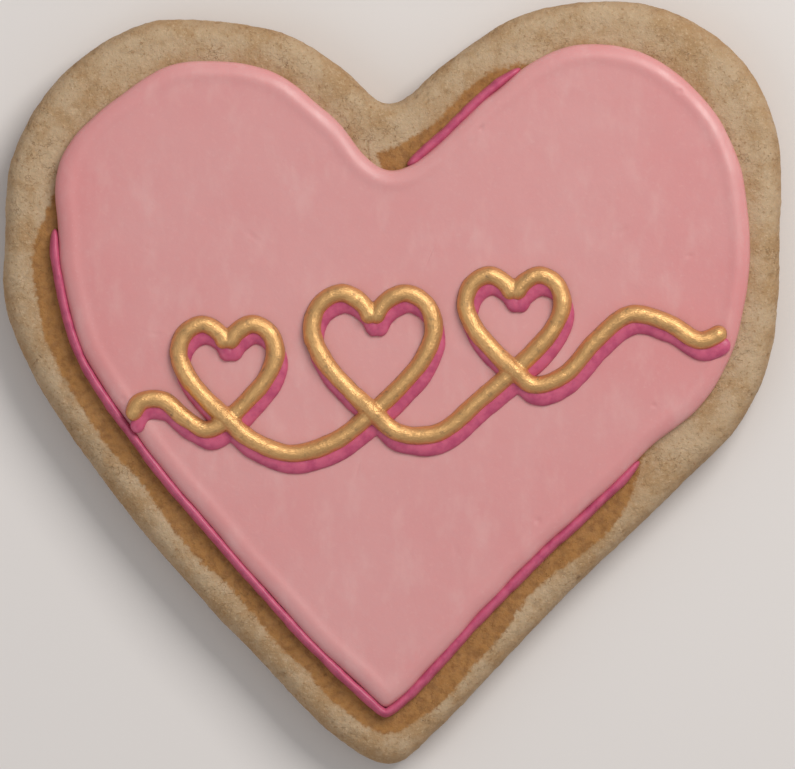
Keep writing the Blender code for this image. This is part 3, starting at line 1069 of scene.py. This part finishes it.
class COOKIE_OT_shade_line(Operator):
    """Makes the low deep pink line that shows below and to the right of the gold one, as its painted
    shadow.
    """

    bl_idname = "cookie.shade_line"
    bl_label = "Shade line"

    def execute(self, context):
        settings = context.scene.cookie_lines
        icing_top = top_level("pink_icing")
        rings = []
        for index, stroke in enumerate(flourish_strokes()):
            path = stroke + SHADE_OFFSET
            uneven = varied(path, STROKE_GAP * index, SHADE, seed=51)
            ends = end_rounding(path, SHADE.rounding)
            widths = settings.shade_width / MM * uneven * ends
            heights = settings.shade_height / MM * ends * uneven + SINK
            base = np.full(len(path), icing_top - SINK)
            rings.append(swept_rings(path, widths, heights, base, SHADE.depth))
        made = merged_line("shade_line_piped", rings)
        add_lumps(made, SHADE_LUMPS * settings.lumps / MM, cell=1.2, seed=52)
        place(made, bpy.data.materials["deep_pink_shade_piping"], "deep_pink_icing", "shade_line")
        return {"FINISHED"}


class COOKIE_OT_gold_line(Operator):
    """Makes the gold line, piped in one go through its three heart-shaped loops."""

    bl_idname = "cookie.gold_line"
    bl_label = "Gold line"

    def execute(self, context):
        settings = context.scene.cookie_lines
        icing_top = top_level("pink_icing")
        strokes = flourish_strokes()
        rings = []
        for index, path in enumerate(strokes):
            uneven = varied(path, STROKE_GAP * index, GOLD, seed=61)
            ends = end_rounding(path, GOLD.rounding)
            widths = settings.gold_width / MM * uneven * ends
            heights = (settings.gold_height / MM * uneven + SINK) * ends
            base = np.full(len(path), icing_top - SINK)
            if index:
                crossing, _ = HEART_LOOPS[index - 1]
                gap = np.linalg.norm(path - crossing, axis=1)
                base += settings.hump / MM * np.exp(-(gap / HUMP_REACH) ** 2)
            rings.append(swept_rings(path, widths, heights, base, GOLD.depth))
        made = merged_line("gold_line_piped", rings)
        points = millimetre_points(made)
        add_lumps(made, settings.lumps / MM, cell=1.3, seed=62)
        line_coordinates(made, strokes)
        # The line's foot, which the material darkens as painted shade.
        set_attribute(made, "shaded_foot", 1 - smoothstep((points[:, 2] - icing_top) / FOOT_SHADE_HEIGHT))
        place(made, gold_material(settings), "gold_lustre", "gold_line")
        return {"FINISHED"}


# ---- the stage

def aim(made, place_at, target):
    """Puts a light or camera at a place and turns it to face a target."""
    made.location = place_at
    way = np.subtract(target, place_at)
    flat = math.hypot(way[0], way[1])
    made.rotation_euler = (math.atan2(flat, -way[2]), 0.0, math.atan2(way[1], way[0]) - math.pi / 2)


def area_light(name, size, power, colour, place_at):
    """A soft square light that faces the cookie."""
    light = bpy.data.lights.new(name, "AREA")
    light.size = size
    light.energy = power
    light.color = colour
    aim(new_object(name, light), place_at, (0.0, 0.0, 0.0))


class COOKIE_OT_stage(Operator):
    """Makes the pale floor, the soft lights and the camera that looks down on the cookie."""

    bl_idname = "cookie.stage"
    bl_label = "Stage"

    def execute(self, context):
        settings = context.scene.cookie_stage
        half = settings.floor_size / MM / 2
        corners = half * np.array([(-1, -1, 0), (1, -1, 0), (1, 1, 0), (-1, 1, 0)], float)
        floor = mesh_object("floor", corners, [np.array([[0, 1, 2, 3]])])
        floor.data.materials.append(floor_material(settings))
        world = bpy.data.worlds.new("soft_room")
        world.use_nodes = True
        background = world.node_tree.nodes["Background"]
        background.inputs["Color"].default_value = ROOM_COLOUR
        background.inputs["Strength"].default_value = settings.ambient
        context.scene.world = world
        area_light("key", KEY_SIZE, settings.key_power, KEY_COLOUR, KEY_PLACE)
        area_light("fill", FILL_SIZE, settings.fill_power, FILL_COLOUR, FILL_PLACE)
        target = np.array((*AIM_OFFSET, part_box("pink_icing")[1].z))
        away = np.array((0.0, -math.cos(settings.elevation), math.sin(settings.elevation)))
        camera = bpy.data.cameras.new("camera")
        camera.sensor_width = SENSOR_WIDTH
        camera.lens = SENSOR_WIDTH * settings.distance / settings.field
        camera.clip_start, camera.clip_end = VIEW_RANGE
        seen = new_object("camera", camera)
        aim(seen, target + away * settings.distance, target)
        context.scene.camera = seen
        context.scene.view_settings.view_transform = "Standard"
        return {"FINISHED"}


# ---- add-on

OPERATORS = (
    COOKIE_OT_biscuit, COOKIE_OT_icing, COOKIE_OT_rim_lines, COOKIE_OT_shade_line,
    COOKIE_OT_gold_line, COOKIE_OT_stage,
)
GROUPS = {
    "cookie_biscuit": COOKIE_PG_biscuit,
    "cookie_icing": COOKIE_PG_icing,
    "cookie_lines": COOKIE_PG_lines,
    "cookie_stage": COOKIE_PG_stage,
}


class COOKIE_PT_panel(Panel):
    """Lists the cookie's pieces and its sizes and colours."""

    bl_idname = "COOKIE_PT_panel"
    bl_label = "Iced Sugar Cookie"
    bl_space_type = "VIEW_3D"
    bl_region_type = "UI"
    bl_category = "Cookie"

    def draw(self, context):
        for made in OPERATORS:
            self.layout.operator(made.bl_idname)
        for key, group in GROUPS.items():
            box = self.layout.box()
            for name in group.__annotations__:
                box.prop(getattr(context.scene, key), name)


def register():
    for group in GROUPS.values():
        bpy.utils.register_class(group)
    for key, group in GROUPS.items():
        setattr(bpy.types.Scene, key, PointerProperty(type=group))
    for made in (*OPERATORS, COOKIE_PT_panel):
        bpy.utils.register_class(made)


def unregister():
    for made in (COOKIE_PT_panel, *reversed(OPERATORS)):
        bpy.utils.unregister_class(made)
    for key in GROUPS:
        delattr(bpy.types.Scene, key)
    for group in reversed(GROUPS.values()):
        bpy.utils.unregister_class(group)


def main():
    """Registers the add-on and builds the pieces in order."""
    register()
    bpy.ops.cookie.biscuit()
    bpy.ops.cookie.icing()
    bpy.ops.cookie.rim_lines()
    bpy.ops.cookie.shade_line()
    bpy.ops.cookie.gold_line()
    bpy.ops.cookie.stage()


if __name__ == "__main__":
    main()
